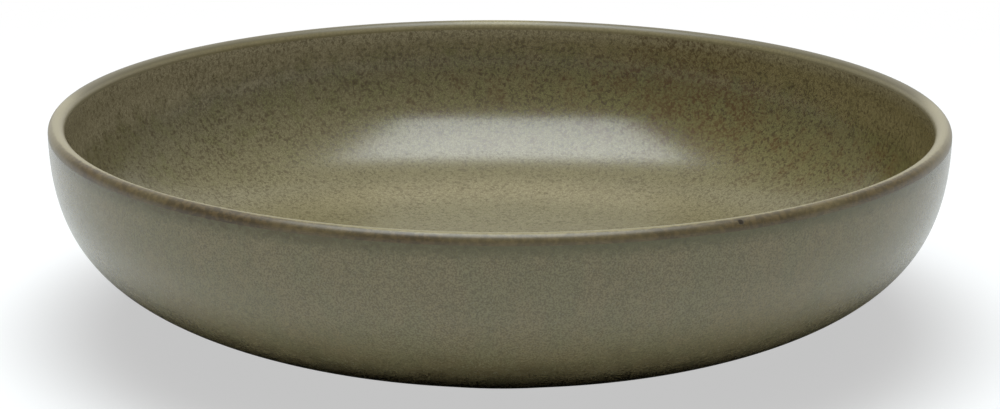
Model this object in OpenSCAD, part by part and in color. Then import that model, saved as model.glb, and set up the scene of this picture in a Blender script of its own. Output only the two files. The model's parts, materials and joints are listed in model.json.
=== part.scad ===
// Soup plate in glazed stoneware: a round coupe bowl with a steep wall, a thick rounded lip and a low foot ring.
// The origin is the centre of the circle on which the foot ring stands, and +Z is up. Millimetres.

/* [Overall] */
// Diameter over the outside of the wall
plate_d = 220; // [200:1:240]
// Height from the table to the top of the lip
plate_h = 53; // [46:0.5:60]

/* [Wall and lip] */
// Width of the lip from the well to the outside
lip_w = 4; // [3.4:0.1:5]
// Angle at which the underside of the wall runs into the foot
belly_angle = 14; // [8:1:20]

/* [Well] */
// Diameter of the flat middle of the well
well_flat_d = 88; // [70:1:96]
// Thickness of the floor, glaze included
floor_t = 5.8; // [5:0.1:7]

/* [Foot ring] */
// Outer diameter of the foot ring
foot_d = 113; // [104:1:120]
// Width of the foot ring
foot_w = 4; // [3:0.1:6]
// Height of the foot ring's outer side, up to the wall
foot_h = 2.4; // [2:0.1:3.2]
// Depth of the hollow inside the foot ring, under the base
recess_h = 2.4; // [1.8:0.1:3.2]
// Rounding of the two bottom edges of the foot ring
foot_edge_r = 0.6; // [0.3:0.1:0.9]
// Fillet between the foot ring and the base
base_fillet_r = 1; // [0.8:0.1:1.3]

/* [Glaze] */
// Thickness of the glaze on the wall, the floor and the base
glaze_t = 0.35; // [0.25:0.05:0.5]
// Thickness of the glaze on the top of the lip
rim_glaze_t = 0.2; // [0.15:0.05:0.35]
// Height of the glaze line above the table, on the outside of the foot ring
glaze_line_h = 1; // [0.8:0.1:1.4]

/* [Hidden] */
$fn = 128;

// Steps along each long curve of the wall, and along each small rounding
curve_steps = 28;
lip_steps = 16;
edge_steps = 5;

// How far the outer curve stays upright under the lip and how far it stays low beyond the foot,
// as shares of the wall's height and of its reach
outer_upright_share = 0.64;
outer_low_share = 0.72;
// The same for the inner curve
inner_upright_share = 0.3;
inner_low_share = 0.98;

// Places that follow from the sizes
plate_r = plate_d / 2;
foot_r = foot_d / 2;
foot_in_r = foot_r - foot_w;
well_r = plate_r - lip_w;
floor_z = recess_h + floor_t;
lip_z = plate_h - lip_w / 2;
lip_centre = [plate_r - lip_w / 2, lip_z];
base_clay_z = recess_h + glaze_t;

// A cubic curve through the first and last of four points, and its direction
function curve_at(p, t) =
    pow(1 - t, 3) * p[0] + 3 * t * pow(1 - t, 2) * p[1] + 3 * t * t * (1 - t) * p[2] + pow(t, 3) * p[3];
function curve_way(p, t) =
    pow(1 - t, 2) * (p[1] - p[0]) + 2 * t * (1 - t) * (p[2] - p[1]) + t * t * (p[3] - p[2]);
function right_of(v) = [v[1], -v[0]] / norm(v);

// The points of a curve, set back by a depth towards its right-hand side, which is the clay's
function set_back(p, depth) =
    [for (i = [0:curve_steps]) let (t = i / curve_steps) curve_at(p, t) + depth * right_of(curve_way(p, t))];

// An arc about a centre, with one radius along the plate and one along its height
function arc(centre, radius_r, radius_z, from, to, steps) =
    [for (i = [0:steps]) let (a = from + (to - from) * i / steps)
        centre + [radius_r * cos(a), radius_z * sin(a)]];
function reversed(list) = [for (i = [len(list) - 1:-1:0]) list[i]];
function all_but_last(list) = [for (i = [0:len(list) - 2]) list[i]];

// The outer curve, from the lip down to where the glazed wall would meet the foot
outer_end = [foot_r + glaze_t * sin(belly_angle), foot_h - glaze_t * cos(belly_angle)];
outer_rise = lip_z - outer_end[1];
outer_reach = plate_r - outer_end[0];
outer_curve = [
    [plate_r, lip_z],
    [plate_r, lip_z - outer_upright_share * outer_rise],
    outer_end + outer_low_share * outer_reach * [cos(belly_angle), sin(belly_angle)],
    outer_end
];

// The inner curve, from the flat middle of the well out and up to the lip
inner_curve = [
    [well_flat_d / 2, floor_z],
    [well_flat_d / 2 + inner_low_share * (well_r - well_flat_d / 2), floor_z],
    [well_r, lip_z - inner_upright_share * (lip_z - floor_z)],
    [well_r, lip_z]
];

// Where the glaze turns the corner from the wall down the side of the foot
corner_run = glaze_t * (1 - sin(belly_angle)) / cos(belly_angle);
glaze_corner = outer_end + corner_run * [cos(belly_angle), sin(belly_angle)];

// The fillet under the base is struck from this centre, in the clay and in the glaze alike
fillet_centre = [foot_in_r - base_fillet_r, base_clay_z - base_fillet_r];
clay_fillet = arc(fillet_centre, base_fillet_r, base_fillet_r, 0, 90, edge_steps);

// The lip's clay core is a half ellipse inside the glaze's half circle
clay_lip = arc(lip_centre, lip_w / 2 - glaze_t, lip_w / 2 - rim_glaze_t, 180, 0, lip_steps);

module turned(outline) {
    rotate_extrude() polygon(outline);
}

// Fired clay: floor, wall, core of the lip and the bare foot ring
module stoneware_body() {
    foot_out_edge = [foot_r - foot_edge_r, foot_edge_r];
    foot_in_edge = [foot_in_r + foot_edge_r, foot_edge_r];
    color([0.42, 0.36, 0.28])
        turned(concat(
            [[0, floor_z - glaze_t]],
            all_but_last(set_back(inner_curve, glaze_t)),
            clay_lip,
            [for (i = [1:curve_steps]) set_back(outer_curve, glaze_t)[i]],
            arc(foot_out_edge, foot_edge_r, foot_edge_r, 0, -90, edge_steps),
            arc(foot_in_edge, foot_edge_r, foot_edge_r, -90, -180, edge_steps),
            clay_fillet,
            [[0, base_clay_z]]
        ));
}

// Coat over the floor and the inner wall, up to where the lip starts to round
module inside_glaze() {
    color([0.40, 0.38, 0.28])
        turned(concat(
            [[0, floor_z]],
            set_back(inner_curve, 0),
            reversed(set_back(inner_curve, glaze_t)),
            [[0, floor_z - glaze_t]]
        ));
}

// Thin coat over the rounded lip
module rim_glaze() {
    color([0.55, 0.50, 0.40])
        turned(concat(arc(lip_centre, lip_w / 2, lip_w / 2, 180, 0, lip_steps), reversed(clay_lip)));
}

// Coat over the outer wall, down round the corner to the glaze line on the foot ring
module outside_glaze() {
    color([0.39, 0.37, 0.30])
        turned(concat(
            all_but_last(set_back(outer_curve, 0)),
            [glaze_corner, [foot_r + glaze_t, glaze_line_h], [foot_r, glaze_line_h]],
            reversed(set_back(outer_curve, glaze_t))
        ));
}

// Coat under the base, inside the foot ring
module base_glaze() {
    skin_r = base_fillet_r - glaze_t;
    color([0.38, 0.36, 0.29])
        turned(concat(
            [[0, recess_h]],
            arc(fillet_centre, skin_r, skin_r, 90, 0, edge_steps),
            clay_fillet,
            [[0, base_clay_z]]
        ));
}

stoneware_body();
inside_glaze();
rim_glaze();
outside_glaze();
base_glaze();
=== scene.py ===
import json
import math

import bmesh
import bpy
from mathutils import Matrix, Quaternion, Vector
from mathutils.geometry import interpolate_bezier


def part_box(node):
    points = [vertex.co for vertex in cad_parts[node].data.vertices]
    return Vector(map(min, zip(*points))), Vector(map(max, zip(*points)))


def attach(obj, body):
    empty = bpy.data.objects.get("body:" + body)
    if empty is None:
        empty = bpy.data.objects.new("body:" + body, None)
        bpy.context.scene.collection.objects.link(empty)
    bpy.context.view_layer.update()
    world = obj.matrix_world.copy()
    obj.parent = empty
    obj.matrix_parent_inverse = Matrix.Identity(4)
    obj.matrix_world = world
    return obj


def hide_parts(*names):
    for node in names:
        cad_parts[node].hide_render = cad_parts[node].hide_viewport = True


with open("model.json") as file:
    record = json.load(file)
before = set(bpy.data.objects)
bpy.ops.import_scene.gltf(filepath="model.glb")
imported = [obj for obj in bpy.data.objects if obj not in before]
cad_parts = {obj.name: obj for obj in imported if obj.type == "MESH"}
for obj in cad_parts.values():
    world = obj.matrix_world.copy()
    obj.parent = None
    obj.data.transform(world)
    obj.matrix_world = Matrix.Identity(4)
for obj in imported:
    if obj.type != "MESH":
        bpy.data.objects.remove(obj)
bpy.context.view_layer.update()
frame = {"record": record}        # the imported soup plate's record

mm = 0.001

photoView = {
    "distance": 600 * mm,          # from the lens to the middle of the plate
    "elevation": 15.9,             # degrees above the table
    "roll": 0.3,                   # degrees, the photo is not quite level
    "lens": 86.5,                  # on a sensor of the width below
    "sensor": 36,
    "aim": (0.1 * mm, 0, 28.2 * mm),
    "clip": (0.01, 50),            # nothing nearer or farther is drawn
}


def addCamera(values):
    data = bpy.data.cameras.new("photoCamera")
    data.sensor_width = values["sensor"]
    data.lens = values["lens"]
    data.clip_start, data.clip_end = values["clip"]
    camera = bpy.data.objects.new("photoCamera", data)
    bpy.context.scene.collection.objects.link(camera)
    rise = math.radians(values["elevation"])
    back = Vector((0, -math.cos(rise), math.sin(rise)))
    camera.location = Vector(values["aim"]) + back * values["distance"]
    camera.rotation_mode = "QUATERNION"
    level = (-back).to_track_quat("-Z", "Y")
    camera.rotation_quaternion = level @ Quaternion((0, 0, 1), math.radians(values["roll"]))
    bpy.context.scene.camera = camera


addCamera(photoView)
print("camera placed")


# sizes that every piece shares, read from the frame

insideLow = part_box("inside_glaze")[0]
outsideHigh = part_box("outside_glaze")[1]
rimLow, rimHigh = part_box("rim_glaze")
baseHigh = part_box("base_glaze")[1]
mountPlaces = {m["name"]: m["pos_m"] for m in frame["record"]["mounts"]}

plateR = min(outsideHigh.x, outsideHigh.y)
lipZ = rimLow.z                    # where the lip starts to round
lipR = rimHigh.z - rimLow.z
lipMidR = plateR - lipR
wellR = plateR - 2 * lipR
floorZ = mountPlaces["well_floor"][2]
glazeT = floorZ - insideLow.z
footInR = min(baseHigh.x, baseHigh.y)

plateForm = {
    "sector": 48,                  # faces round an eighth of the plate
    "wellFlatR": 44 * mm,          # where the flat floor starts to curve up
    "footWidth": 4 * mm,
    "footHeight": 2.4 * mm,
    "bellyAngle": 14,              # degrees, where the wall runs into the foot
    "outerUpright": 0.64,          # how far the outer curve stays upright, of its height
    "outerLow": 0.72,              # how far it stays low, of its reach
    "innerUpright": 0.3,
    "innerLow": 0.98,
    "collar": 0.3 * mm,            # the lip's coat starts this far below the rounding
    "seamRoom": 0.05 * mm,         # and no point of a wall's curve lies nearer to that seam
    "wallSteps": 90,               # along a wall, on the side that is seen
    "hiddenWallSteps": 20,         # on the side that lies on the clay
    "clayWallSteps": 40,
    "lipSteps": 48,                # round the lip, where it is seen
    "hiddenLipSteps": 16,          # and under its coat
    "edgeSteps": 8,                # round a small edge
    "mergeRoom": 0.001 * mm,       # points nearer together than this become one
    "sharpAngle": 40,              # degrees, past which an edge isn't smoothed
}
footR = footInR + plateForm["footWidth"]
seamZ = lipZ - plateForm["collar"]


def rz(radius, height):
    return Vector((radius, 0, height))


def bezier(ends, steps):
    return [p.copy() for p in interpolate_bezier(*ends, steps + 1)]


def arc(centre, radius, start, stop, steps):
    turns = [math.radians(start + (stop - start) * i / steps) for i in range(steps + 1)]
    return [centre + radius * rz(math.cos(t), math.sin(t)) for t in turns]


def setBack(points, depth):
    moved = []
    for i, point in enumerate(points):
        way = points[min(i + 1, len(points) - 1)] - points[max(i - 1, 0)]
        moved.append(point + depth * rz(way.z, -way.x).normalized())
    return moved


def outerWall(steps):
    slope = math.radians(plateForm["bellyAngle"])
    end = rz(footR + glazeT * math.sin(slope), plateForm["footHeight"] - glazeT * math.cos(slope))
    upright = rz(plateR, lipZ - plateForm["outerUpright"] * (lipZ - end.z))
    low = end + plateForm["outerLow"] * (plateR - end.x) * rz(math.cos(slope), math.sin(slope))
    return bezier((rz(plateR, lipZ), upright, low, end), steps)


def innerWall(steps):
    start = rz(plateForm["wellFlatR"], floorZ)
    low = rz(start.x + plateForm["innerLow"] * (wellR - start.x), floorZ)
    upright = rz(wellR, lipZ - plateForm["innerUpright"] * (lipZ - floorZ))
    return bezier((start, low, upright, rz(wellR, lipZ)), steps)


def belowSeam(points):
    return [p for p in points if p.z < seamZ - plateForm["seamRoom"]]


def turn(name, outline, closed):
    mesh = bpy.data.meshes.new(name)
    piece = bpy.data.objects.new(name, mesh)
    bpy.context.scene.collection.objects.link(piece)
    bm = bmesh.new()
    ring = [bm.verts.new(p) for p in outline]
    for a, b in zip(ring, ring[1:]):
        bm.edges.new((a, b))
    if closed:
        bm.edges.new((ring[-1], ring[0]))
    eighth = math.pi / 4
    bmesh.ops.spin(bm, geom=bm.verts[:] + bm.edges[:], cent=(0, 0, 0), axis=(0, 0, 1),
                   angle=eighth, steps=plateForm["sector"], use_merge=False, use_duplicate=False)
    for built in (eighth, 2 * eighth, 4 * eighth):       # doubled to a quarter, a half, the whole plate
        copied = bmesh.ops.duplicate(bm, geom=bm.verts[:] + bm.edges[:] + bm.faces[:])["geom"]
        bmesh.ops.rotate(bm, verts=[v for v in copied if isinstance(v, bmesh.types.BMVert)],
                         cent=(0, 0, 0), matrix=Matrix.Rotation(built, 3, "Z"))
    bmesh.ops.remove_doubles(bm, verts=bm.verts[:], dist=plateForm["mergeRoom"])
    bmesh.ops.recalc_face_normals(bm, faces=bm.faces[:])
    sharp = math.radians(plateForm["sharpAngle"])
    for face in bm.faces:
        face.smooth = True
    for edge in bm.edges:
        edge.smooth = edge.calc_face_angle(math.pi) < sharp
    bm.to_mesh(mesh)
    bm.free()
    return piece


def settle(piece, node, material):
    piece.data.materials.append(material)
    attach(piece, "root")
    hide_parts(node)
    print(piece.name, "made with", len(piece.data.polygons), "faces")


# shader building: Wire wraps one output so that masks read as sums, Finish builds one material


class Wire:
    def __init__(self, finish, output):
        self.finish = finish
        self.output = output

    def calc(self, operation, *values):
        return self.finish.node("ShaderNodeMath", {"operation": operation}, dict(enumerate(values)))

    def __add__(self, other):
        return self.calc("ADD", self, other)

    __radd__ = __add__

    def __mul__(self, other):
        return self.calc("MULTIPLY", self, other)

    __rmul__ = __mul__

    def __sub__(self, other):
        return self.calc("SUBTRACT", self, other)

    def __rsub__(self, other):
        return self.calc("SUBTRACT", other, self)

    def __pow__(self, other):
        return self.calc("POWER", self, other)

    def larger(self, other):
        return self.calc("MAXIMUM", self, other)

    def step(self, low, high):
        settings = {"interpolation_type": "SMOOTHSTEP"}
        return self.finish.node("ShaderNodeMapRange", settings,
                                {"Value": self, "From Min": low, "From Max": high})


class Finish:
    def __init__(self, name):
        self.material = bpy.data.materials.new(name)
        self.material.use_nodes = True
        self.tree = self.material.node_tree
        self.tree.nodes.clear()
        place = self.node("ShaderNodeTexCoord", output="Object")
        self.place = self.node("ShaderNodeVectorMath", {"operation": "SCALE"}, {0: place, "Scale": 1 / mm})
        parts = self.node("ShaderNodeSeparateXYZ", None, {0: self.place}).output.node.outputs
        self.x, self.y, self.z = (Wire(self, part) for part in parts)
        self.r = (self.x * self.x + self.y * self.y) ** 0.5

    def node(self, kind, settings=None, sockets=None, output=0):
        made = self.tree.nodes.new(kind)
        for key, value in (settings or {}).items():
            setattr(made, key, value)
        for key, value in (sockets or {}).items():
            if isinstance(value, Wire):
                self.tree.links.new(value.output, made.inputs[key])
            else:
                made.inputs[key].default_value = value
        return Wire(self, made.outputs[output]) if made.outputs else None

    def speckle(self, size, detail=2.0, roughness=0.5, distortion=0.0, stretch=(1, 1, 1), shift=0.0):
        place = self.node("ShaderNodeMapping", None,
                          {"Vector": self.place, "Location": (shift, shift, shift), "Scale": stretch})
        return self.node("ShaderNodeTexNoise", None,
                         {"Vector": place, "Scale": 1 / size, "Detail": detail, "Roughness": roughness,
                          "Distortion": distortion})

    def awayFrom(self, spot):
        settings = {"operation": "DISTANCE"}
        return self.node("ShaderNodeVectorMath", settings, {0: self.place, 1: spot}, output=1)

    def mix(self, factor, first, second):
        return self.node("ShaderNodeMix", {"data_type": "RGBA"}, {0: factor, 6: first, 7: second}, output=2)

    def surface(self, colour, roughness, height, relief):
        bump = self.node("ShaderNodeBump", None, {"Height": height, "Distance": relief, "Strength": 1.0})
        shader = self.node("ShaderNodeBsdfPrincipled", None,
                           {"Base Color": colour, "Roughness": roughness, "Normal": bump})
        self.node("ShaderNodeOutputMaterial", None, {"Surface": shader})
        return self.material


# the values that a colour picker shows, 0 to 255, made the linear ones that a socket takes

def paint(red, green, blue):
    parts = [c / 255 for c in (red, green, blue)]
    return (*[c / 12.92 if c <= 0.04045 else ((c + 0.055) / 1.055) ** 2.4 for c in parts], 1.0)


white = (1, 1, 1, 1)
middle = 0.5                       # the level that a noise swings about


# the looks: places and sizes are in mm, a pair is where a mask starts and where it is full,
# a share is how far a layer covers, more or less of it where a name says so, and each pattern
# has its own shift so that no two agree

insideGlazeLook = {
    "floorOlive": paint(124, 116, 86),
    # the paler ring's colour, a painted reflection of the backdrop in the floor's upturn
    "reflectionRingOlive": paint(144, 134, 104),
    "leftOlive": paint(115, 108, 80),
    "rightOlive": paint(106, 98, 59),
    "green": paint(104, 103, 62),
    "lipLeft": paint(151, 141, 114),
    "lipRight": paint(132, 120, 82),
    "lipTop": paint(172, 162, 134),
    "dark": paint(63, 50, 27),
    "rust": paint(79, 57, 26),
    "leftToRight": (-100, 80),     # across the plate, from the left tone to the right one
    "wallHeights": (12, 28),       # above the table, the iron thickens up the wall
    "reflectionRingHeights": (8.8, 11, 14.5),    # start, crest and end of a painted reflection, a paler ring where the floor turns up
    "reflectionRingBack": (45, 75),          # which is painted only at the back
    "lipBand": (40.5, 50.5),       # the iron thins again under the lip
    "lipSides": 0.0006,            # from lower down at the left and right
    "lipRagged": 14,               # with a ragged lower edge
    "topBand": (46.5, 51),         # the last of it is palest
    "topShare": 0.75,
    "topRightLess": 0.3,
    "cloudSize": 12,               # of the patterns, from coarse to fine
    "patchSize": 6,
    "mottleSize": 0.95,
    "grainSize": 0.4,
    "rippleSize": 2.2,
    "ironFrom": (0.6, 0.4, 0.08),  # how much mottle, grain and clouds bring to the iron
    "speckIron": (0.51, 0.57),     # where the iron is this dense it shows as dark specks
    "speckFloor": 0.53,            # their share on the floor
    "speckFloorRightLess": 0.05,
    "speckWallMore": 0.2,          # and more or less of it elsewhere
    "speckWallRightMore": 0.2,
    "speckLipLess": 0.2,
    "grainDark": (0.56, 0.42),     # the dips in the grain are darker too
    "grainShare": 0.42,
    "greenPatches": (0.52, 0.4),
    "greenShare": 0.35,
    "rustPatches": (0.47, 0.64),
    "rustIron": (0.42, 0.58),
    "rustShare": 0.85,
    "rustPlace": (53, 90, 41),     # most of the rust lies round here
    "rustReach": (36, 8),          # away from that place
    "rustGather": 0.12,            # how much likelier it is there
    "rustOverLip": 0.6,            # and how far it goes on under the lip there
    "roughness": 0.225,
    "speckRougher": 0.08,
    "relief": 0.008 * mm,
    "grainRelief": 0.2,
    "speckRelief": 0.3,
}


def insideFinish(look):
    f = Finish("insideGlaze")
    wall = f.z.step(*look["wallHeights"])
    right = f.x.step(*look["leftToRight"])
    clouds = f.speckle(look["cloudSize"], detail=3, roughness=0.6, shift=3.1)
    patches = f.speckle(look["patchSize"], detail=4, roughness=0.7, shift=37)
    mottle = f.speckle(look["mottleSize"], detail=3, roughness=0.6, distortion=0.8, shift=11)
    grain = f.speckle(look["grainSize"], detail=3, roughness=0.75, shift=23)
    ripples = f.speckle(look["rippleSize"], detail=2, shift=5)

    lipLine = f.z + f.x * f.x * look["lipSides"] + (patches - middle) * look["lipRagged"]
    lip = lipLine.step(*look["lipBand"])
    top = f.z.step(*look["topBand"]) * (look["topShare"] - right * look["topRightLess"])
    low, crest, high = look["reflectionRingHeights"]
    # painted reflection: a paler ring where the floor turns up, at the back only
    ring = f.z.step(low, crest) * f.z.step(high, crest) * f.y.step(*look["reflectionRingBack"])

    fromMottle, fromGrain, fromClouds = look["ironFrom"]
    iron = mottle * fromMottle + grain * fromGrain + (clouds - middle) * fromClouds
    onFloor = look["speckFloor"] - right * look["speckFloorRightLess"]
    onWall = wall * (look["speckWallMore"] + right * look["speckWallRightMore"])
    specks = iron.step(*look["speckIron"]) * (onFloor + onWall - lip * look["speckLipLess"])

    near = f.awayFrom(look["rustPlace"]).step(*look["rustReach"])
    rusty = (patches + near * look["rustGather"]).step(*look["rustPatches"]) * iron.step(*look["rustIron"])
    rusty = rusty * right * wall * (1 - lip * (1 - near * look["rustOverLip"]))
    greenish = patches.step(*look["greenPatches"]) * wall * (1 - lip)

    colour = f.mix(wall, look["floorOlive"], f.mix(right, look["leftOlive"], look["rightOlive"]))
    colour = f.mix(greenish * look["greenShare"], colour, look["green"])
    colour = f.mix(ring, colour, look["reflectionRingOlive"])
    colour = f.mix(lip, colour, f.mix(right, look["lipLeft"], look["lipRight"]))
    colour = f.mix(top, colour, look["lipTop"])
    colour = f.mix(grain.step(*look["grainDark"]) * look["grainShare"], colour, look["dark"])
    colour = f.mix(specks, colour, look["dark"])
    colour = f.mix(rusty * look["rustShare"], colour, look["rust"])
    height = ripples + grain * look["grainRelief"] - specks * look["speckRelief"]
    return f.surface(colour, look["roughness"] + specks * look["speckRougher"], height, look["relief"])


outsideGlazeLook = {
    "olive": paint(131, 121, 88),
    "green": paint(124, 119, 86),
    "dark": paint(60, 50, 24),
    "rust": paint(82, 68, 36),
    "lipGreen": paint(84, 83, 51),
    # near black low on the belly: partly dark iron, partly painted contact shadow
    "ironAndShadowBlack": paint(30, 23, 10),
    "lipShade": (46.5, 51.0),      # above the table, the glaze darkens up to the lip
    "lipRagged": 3,                # how far that line strays
    "lipShare": 0.85,
    "footIronAndShade": (26, 13),         # and down the belly to the foot, partly the glaze's iron and partly painted contact shade
    "footRagged": 16,
    "footShare": 0.54,
    # where the belly turns near black: partly iron, partly painted shadow
    "footIronAndShadow": (19, 11),
    "footIronAndShadowShare": 0.85,
    "rustHeights": (48.5, 50),     # a little rust close under the lip
    "rustMottle": (0.4, 0.55),
    "rustLeft": (40, -60),         # from right to left
    "rustShare": 0.5,
    "cloudSize": 9,
    "runSize": 8,
    "runStretch": (1, 1, 0.4),     # the runs in the glaze hang down
    "runGreen": (0.4, 0.62),
    "runShare": 0.7,
    "mottleSize": 1.1,
    "grainSize": 0.4,
    "rippleSize": 2.4,
    "ironFrom": (0.6, 0.4),        # how much mottle and grain bring to the iron
    "speckIron": (0.52, 0.62),
    "speckShare": 0.28,
    "speckFootMore": 0.42,
    "speckLipMore": 0.15,
    "grainDark": (0.56, 0.42),     # the dips in the grain
    "grainShare": 0.55,
    "roughness": 0.24,
    "speckRougher": 0.06,
    "relief": 0.008 * mm,
    "grainRelief": 0.2,
    "speckRelief": 0.2,
}


def outsideFinish(look):
    f = Finish("outsideGlaze")
    clouds = f.speckle(look["cloudSize"], detail=4, roughness=0.65, shift=4.3)
    mottle = f.speckle(look["mottleSize"], detail=3, roughness=0.6, distortion=0.6, shift=13)
    grain = f.speckle(look["grainSize"], detail=3, roughness=0.75, shift=29)
    runs = f.speckle(look["runSize"], detail=4, roughness=0.75, stretch=look["runStretch"], shift=41)
    ripples = f.speckle(look["rippleSize"], detail=2, shift=7)

    lip = (f.z + (mottle - middle) * look["lipRagged"]).step(*look["lipShade"])
    # the belly darkens to the foot, partly the glaze's iron and partly painted contact shadow
    footLine = f.z + (clouds - middle) * look["footRagged"] + (mottle - middle) * look["footRagged"]
    foot = footLine.step(*look["footIronAndShade"])
    ironAndShadowBlack = f.z.step(*look["footIronAndShadow"]) * look["footIronAndShadowShare"]
    rusty = f.z.step(*look["rustHeights"]) * mottle.step(*look["rustMottle"]) * f.x.step(*look["rustLeft"])

    fromMottle, fromGrain = look["ironFrom"]
    specks = (mottle * fromMottle + grain * fromGrain).step(*look["speckIron"])
    strength = look["speckShare"] + foot * look["speckFootMore"] + lip * look["speckLipMore"]
    shade = specks * strength + foot * look["footShare"]

    colour = f.mix(runs.step(*look["runGreen"]) * look["runShare"], look["olive"], look["green"])
    colour = f.mix(grain.step(*look["grainDark"]) * look["grainShare"], colour, look["dark"])
    colour = f.mix(lip * look["lipShare"], colour, look["lipGreen"])
    colour = f.mix(shade, colour, look["dark"])
    colour = f.mix(rusty * look["rustShare"], colour, look["rust"])
    # painted contact shadow near the foot, with dark iron
    colour = f.mix(ironAndShadowBlack, colour, look["ironAndShadowBlack"])
    height = ripples + grain * look["grainRelief"] - specks * look["speckRelief"]
    return f.surface(colour, look["roughness"] + specks * look["speckRougher"], height, look["relief"])


rimGlazeLook = {
    "tan": paint(113, 103, 68),
    "cream": paint(130, 119, 82),
    # a pale tone, painted at the left and right as a sheen of the surround, and on the well's side
    "side": paint(138, 129, 104),
    # the painted shade's colour, between the sides and the back
    "back": paint(95, 87, 64),
    "brown": paint(62, 49, 26),
    "rust": paint(86, 70, 42),
    "hole": paint(34, 23, 3),
    "edge": (1.2, 0.7),            # in from the plate's edge, where the glaze breaks to brown
    "edgeRagged": 0.9,             # and how far that line strays
    "edgeWaves": 0.6,
    "edgeSides": 3.0e-8,           # further in at the front's two sides
    "edgeShare": 0.65,
    "edgeLeft": (40, -60),         # from right to left
    "edgeLeftMore": 0.1,
    "edgeCrests": (0.3, 0.6),      # the crests of the waves are browner
    "edgeCrestMore": 0.2,
    "edgeFade": (90, 109),         # to the left and right, where the brown gives way to tan
    "edgeFadeShare": 0.65,
    "edgeRust": (0.46, 0.56),      # of the breaks, from brown to rust
    "creamGrain": (0.38, 0.6),     # of the grain, from tan to cream
    "sides": (70, 108),            # to the left and right, where the lip is painted paler, a painted sheen of the surround
    "sideSheenShare": 0.8,
    "inner": (106.6, 106),         # from the axis, it stays pale on the well's side
    "innerShare": 0.25,
    "backCornerShade": (200, 2400),        # and is painted darker between the sides and the back, a painted shade, in square mm
    "breakSize": 1.6,
    "waveSize": 16,
    "grainSize": 0.8,
    "pinhole": (50.2, -97.2, 52.35),
    "pinholeR": 0.78,
    "pinholeFull": 0.6,            # full dark within this share of its radius
    "pinholeRagged": 0.5,
    "pinholeShare": 0.95,
    "roughness": 0.41,
    "pinholeRougher": 0.5,
    "relief": 0.008 * mm,
    "grainRelief": 0.3,
    "breakRelief": 0.5,
    "pinholeRelief": 4,
}


def rimFinish(look):
    f = Finish("rimGlaze")
    breaks = f.speckle(look["breakSize"], detail=4, roughness=0.7, shift=17)
    waves = f.speckle(look["waveSize"], detail=2, shift=19)
    grain = f.speckle(look["grainSize"], detail=3, roughness=0.75, shift=31)
    sides = (f.x * f.x) ** 0.5
    inner = f.r.step(*look["inner"])
    backCornerShade = (sides * f.y).step(*look["backCornerShade"]) * (1 - inner)

    ragged = (breaks - middle) * look["edgeRagged"] + (waves - middle) * look["edgeWaves"]
    inward = plateR / mm - f.r + ragged - (f.x * f.y) ** 2 * look["edgeSides"]
    edge = inward.step(*look["edge"])
    onLeft = f.x.step(*look["edgeLeft"]) * look["edgeLeftMore"]
    edge = edge * (look["edgeShare"] + onLeft + waves.step(*look["edgeCrests"]) * look["edgeCrestMore"])
    edge = edge * (1 - sides.step(*look["edgeFade"]) * look["edgeFadeShare"])

    away = f.awayFrom(look["pinhole"]) + (grain - middle) * look["pinholeRagged"]
    hole = away.step(look["pinholeR"], look["pinholeR"] * look["pinholeFull"])

    colour = f.mix(grain.step(*look["creamGrain"]), look["tan"], look["cream"])
    # painted sheen: the lip paler at the left and right, where it would mirror the surround
    colour = f.mix(sides.step(*look["sides"]) * look["sideSheenShare"], colour, look["side"])
    colour = f.mix(inner * look["innerShare"], colour, look["side"])
    # painted shade on the lip between the sides and the back
    colour = f.mix(backCornerShade, colour, look["back"])
    colour = f.mix(edge, colour, f.mix(breaks.step(*look["edgeRust"]), look["brown"], look["rust"]))
    colour = f.mix(hole * look["pinholeShare"], colour, look["hole"])
    height = grain * look["grainRelief"] + breaks * look["breakRelief"] - hole * look["pinholeRelief"]
    return f.surface(colour, look["roughness"] + hole * look["pinholeRougher"], height, look["relief"])


baseGlazeLook = {
    "olive": paint(92, 88, 68),
    "pale": paint(110, 105, 86),
    "cloudSize": 12,
    "grainSize": 0.5,
    "paleGrain": (0.3, 0.7),
    "paleFrom": (0.6, 0.4),        # how much grain and clouds bring to the pale tone
    "roughness": 0.42,
    "relief": 0.05 * mm,
}


def baseFinish(look):
    f = Finish("baseGlaze")
    clouds = f.speckle(look["cloudSize"], detail=3, shift=8)
    grain = f.speckle(look["grainSize"], detail=2, shift=33)
    fromGrain, fromClouds = look["paleFrom"]
    pale = grain.step(*look["paleGrain"]) * fromGrain + clouds * fromClouds
    colour = f.mix(pale, look["olive"], look["pale"])
    return f.surface(colour, look["roughness"], grain + clouds, look["relief"])


clayLook = {
    "clay": paint(96, 78, 58),
    "grog": paint(62, 48, 34),
    "grogSize": 0.8,
    "grogDark": (0.52, 0.66),
    "roughness": 0.85,
    "relief": 0.08 * mm,
}


def clayFinish(look):
    f = Finish("firedClay")
    grog = f.speckle(look["grogSize"], detail=3, roughness=0.7, shift=9)
    colour = f.mix(grog.step(*look["grogDark"]), look["clay"], look["grog"])
    return f.surface(colour, look["roughness"], grog, look["relief"])


# the pieces, each a turned outline


def makeInsideCoat():
    wall = setBack(innerWall(plateForm["hiddenWallSteps"]), glazeT)
    front = [rz(0, floorZ)] + belowSeam(innerWall(plateForm["wallSteps"])) + [rz(wellR, seamZ)]
    back = belowSeam(wall) + [rz(wellR + glazeT, seamZ)]
    outline = front + back[::-1] + [rz(0, floorZ - glazeT)]
    return turn("insideCoat", outline, closed=False)


def makeRimCoat():
    centre = rz(lipMidR, lipZ)
    over = arc(centre, lipR, 180, 0, plateForm["lipSteps"])
    under = arc(centre, lipR - glazeT, 0, 180, plateForm["hiddenLipSteps"])
    front = [rz(wellR, seamZ)] + over + [rz(plateR, seamZ)]
    back = [rz(plateR - glazeT, seamZ)] + under + [rz(wellR + glazeT, seamZ)]
    return turn("rimCoat", front + back, closed=True)


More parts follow.
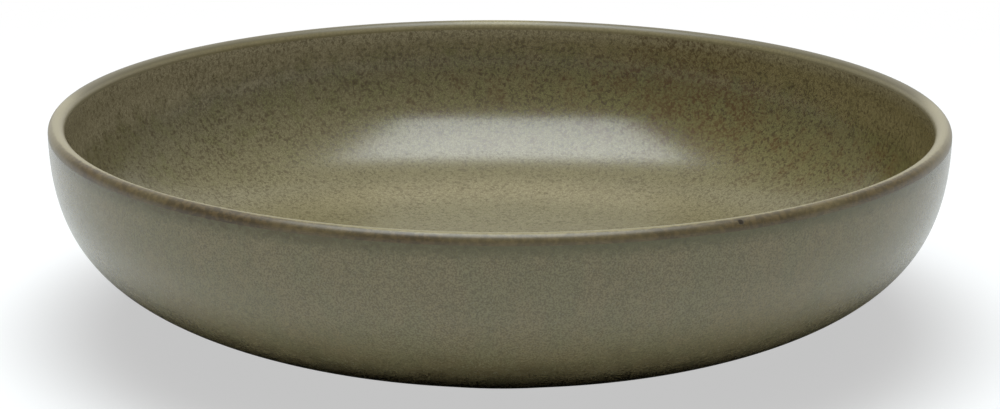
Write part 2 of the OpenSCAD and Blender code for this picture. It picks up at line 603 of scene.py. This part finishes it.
outsideCoatForm = {
    "glazeLine": 1 * mm,           # above the table, where the coat ends on the foot in a bead
    "beadRoom": 1.5,               # times the coat's thickness, the wall's curve stops this far out
}


def makeOutsideCoat(form):
    wall = belowSeam(outerWall(plateForm["wallSteps"]))
    wall = [p for p in wall if p.x > footR + glazeT * form["beadRoom"]]
    back = belowSeam(setBack(outerWall(plateForm["hiddenWallSteps"]), glazeT))
    beadCentre = rz(footR + glazeT / 2, form["glazeLine"] + glazeT / 2)
    bead = arc(beadCentre, glazeT / 2, 0, -180, plateForm["edgeSteps"])
    outline = [rz(plateR, seamZ)] + wall + bead + back[::-1] + [rz(plateR - glazeT, seamZ)]
    return turn("outsideCoat", outline, closed=True)


baseCoatForm = {
    "cornerWidth": 1 * mm,         # the coat thickens into the corner at the foot
    "cornerDrop": 0.65 * mm,
}


def makeBaseCoat(form):
    top = baseHigh.z
    bottom = top - glazeT
    corner = [rz(footInR - form["cornerWidth"], bottom), rz(footInR, bottom - form["cornerDrop"])]
    outline = [rz(0, bottom)] + corner + [rz(footInR, top), rz(0, top)]
    return turn("baseCoat", outline, closed=False)


clayForm = {"footEdgeR": 0.6 * mm}


def makeClay(form):
    edge = form["footEdgeR"]
    steps = plateForm["edgeSteps"]
    inner = belowSeam(setBack(innerWall(plateForm["clayWallSteps"]), glazeT))
    outer = belowSeam(setBack(outerWall(plateForm["clayWallSteps"]), glazeT))
    lip = arc(rz(lipMidR, lipZ), lipR - glazeT, 180, 0, plateForm["hiddenLipSteps"])
    footOut = arc(rz(footR - edge, edge), edge, 0, -90, steps)
    footIn = arc(rz(footInR + edge, edge), edge, -90, -180, steps)
    outline = [rz(0, floorZ - glazeT)] + inner + lip + outer[:-1] + footOut + footIn
    outline += [rz(footInR, baseHigh.z), rz(0, baseHigh.z)]
    return turn("clay", outline, closed=False)


settle(makeClay(clayForm), "stoneware_body", clayFinish(clayLook))
settle(makeInsideCoat(), "inside_glaze", insideFinish(insideGlazeLook))
settle(makeRimCoat(), "rim_glaze", rimFinish(rimGlazeLook))
settle(makeOutsideCoat(outsideCoatForm), "outside_glaze", outsideFinish(outsideGlazeLook))
settle(makeBaseCoat(baseCoatForm), "base_glaze", baseFinish(baseGlazeLook))


# floor, lamps and surround

studio = {
    "floorRadius": 2.2,
    "wallRadius": 2.7,             # the paper sweeps up all round
    "sweepSteps": 12,
    "backTop": 4.2,                # and stands as a narrow wall behind the plate
    "wallFrom": 2.0,               # which starts to rise this far back
    "paperWhite": 0.8,
    "paintedShadowWhite": 0.04,            # under the plate the paper is painted darker, a painted shadow
    "paintedShadowRadii": (72, 130),       # mm from the middle
    "nearGlow": 0.55,              # share of plain white that the camera sees even in the shadow
    "glowRadii": (130, 420),       # mm, where the paper turns plain white to the camera and reflections
    "surround": 0.26,              # how much light comes from above the wall
    "boxSize": (0.86, 0.89),
    "boxPlace": (-0.063, 0.048, 1.062),
    "boxTint": (0.935, 1.0, 1.03),
    "boxTilt": 22,                 # degrees, the camera's side hangs lower
    "boxPower": 17.3,
}


def paperFinish(values):
    f = Finish("paper")
    seen, shone, through = (f.node("ShaderNodeLightPath", output=name)
                            for name in ("Is Camera Ray", "Is Glossy Ray", "Is Transmission Ray"))
    glow = seen.larger(shone).larger(through) * f.r.step(*values["glowRadii"])
    glow = glow.larger(seen * values["nearGlow"])
    shadowPaperGrey, light = ((values[name],) * 3 + (1,) for name in ("paintedShadowWhite", "paperWhite"))
    # painted shadow: the paper darker under the plate, so less light comes back up to the belly
    colour = f.mix(f.r.step(*values["paintedShadowRadii"]), shadowPaperGrey, light)
    paper = f.node("ShaderNodeBsdfDiffuse", None, {"Color": colour})
    bright = f.node("ShaderNodeEmission", None, {"Color": white, "Strength": 1.0})
    both = f.node("ShaderNodeMixShader", None, {0: glow, 1: paper, 2: bright})
    f.node("ShaderNodeOutputMaterial", None, {"Surface": both})
    return f.material


def addPaper(values):
    sweep = values["wallRadius"] - values["floorRadius"]
    bend = arc(rz(values["floorRadius"], sweep), sweep, -90, 0, values["sweepSteps"])
    outline = [rz(0, 0)] + bend + [rz(values["wallRadius"], values["backTop"])]
    paper = turn("paper", outline, closed=False)
    bm = bmesh.new()
    bm.from_mesh(paper.data)
    wall = [face for face in bm.faces if face.calc_center_median().z > sweep]
    around = {part for face in wall for part in (*face.verts, *face.edges)}
    slope = Vector((0, sweep - values["backTop"], values["wallRadius"] - values["wallFrom"]))
    bmesh.ops.bisect_plane(bm, geom=wall + list(around), clear_outer=True,
                           plane_co=(0, values["wallFrom"], sweep), plane_no=slope)
    bmesh.ops.reverse_faces(bm, faces=bm.faces[:])
    bm.to_mesh(paper.data)
    bm.free()
    paper.data.materials.append(paperFinish(values))


def addSurround(values):
    world = bpy.data.worlds.new("surround")
    world.use_nodes = True
    bpy.context.scene.world = world
    sky = world.node_tree.nodes["Background"]
    sky.inputs["Color"].default_value = white
    sky.inputs["Strength"].default_value = values["surround"]


def addSoftbox(values):
    data = bpy.data.lights.new("softbox", "AREA")
    data.shape = "RECTANGLE"
    data.size, data.size_y = values["boxSize"]
    data.energy = values["boxPower"]
    data.color = values["boxTint"]
    lamp = bpy.data.objects.new("softbox", data)
    bpy.context.scene.collection.objects.link(lamp)
    lamp.location = values["boxPlace"]
    lamp.rotation_euler.x = math.radians(values["boxTilt"])


addPaper(studio)
addSurround(studio)
addSoftbox(studio)
bpy.context.scene.view_settings.view_transform = "Standard"
print("studio set up")
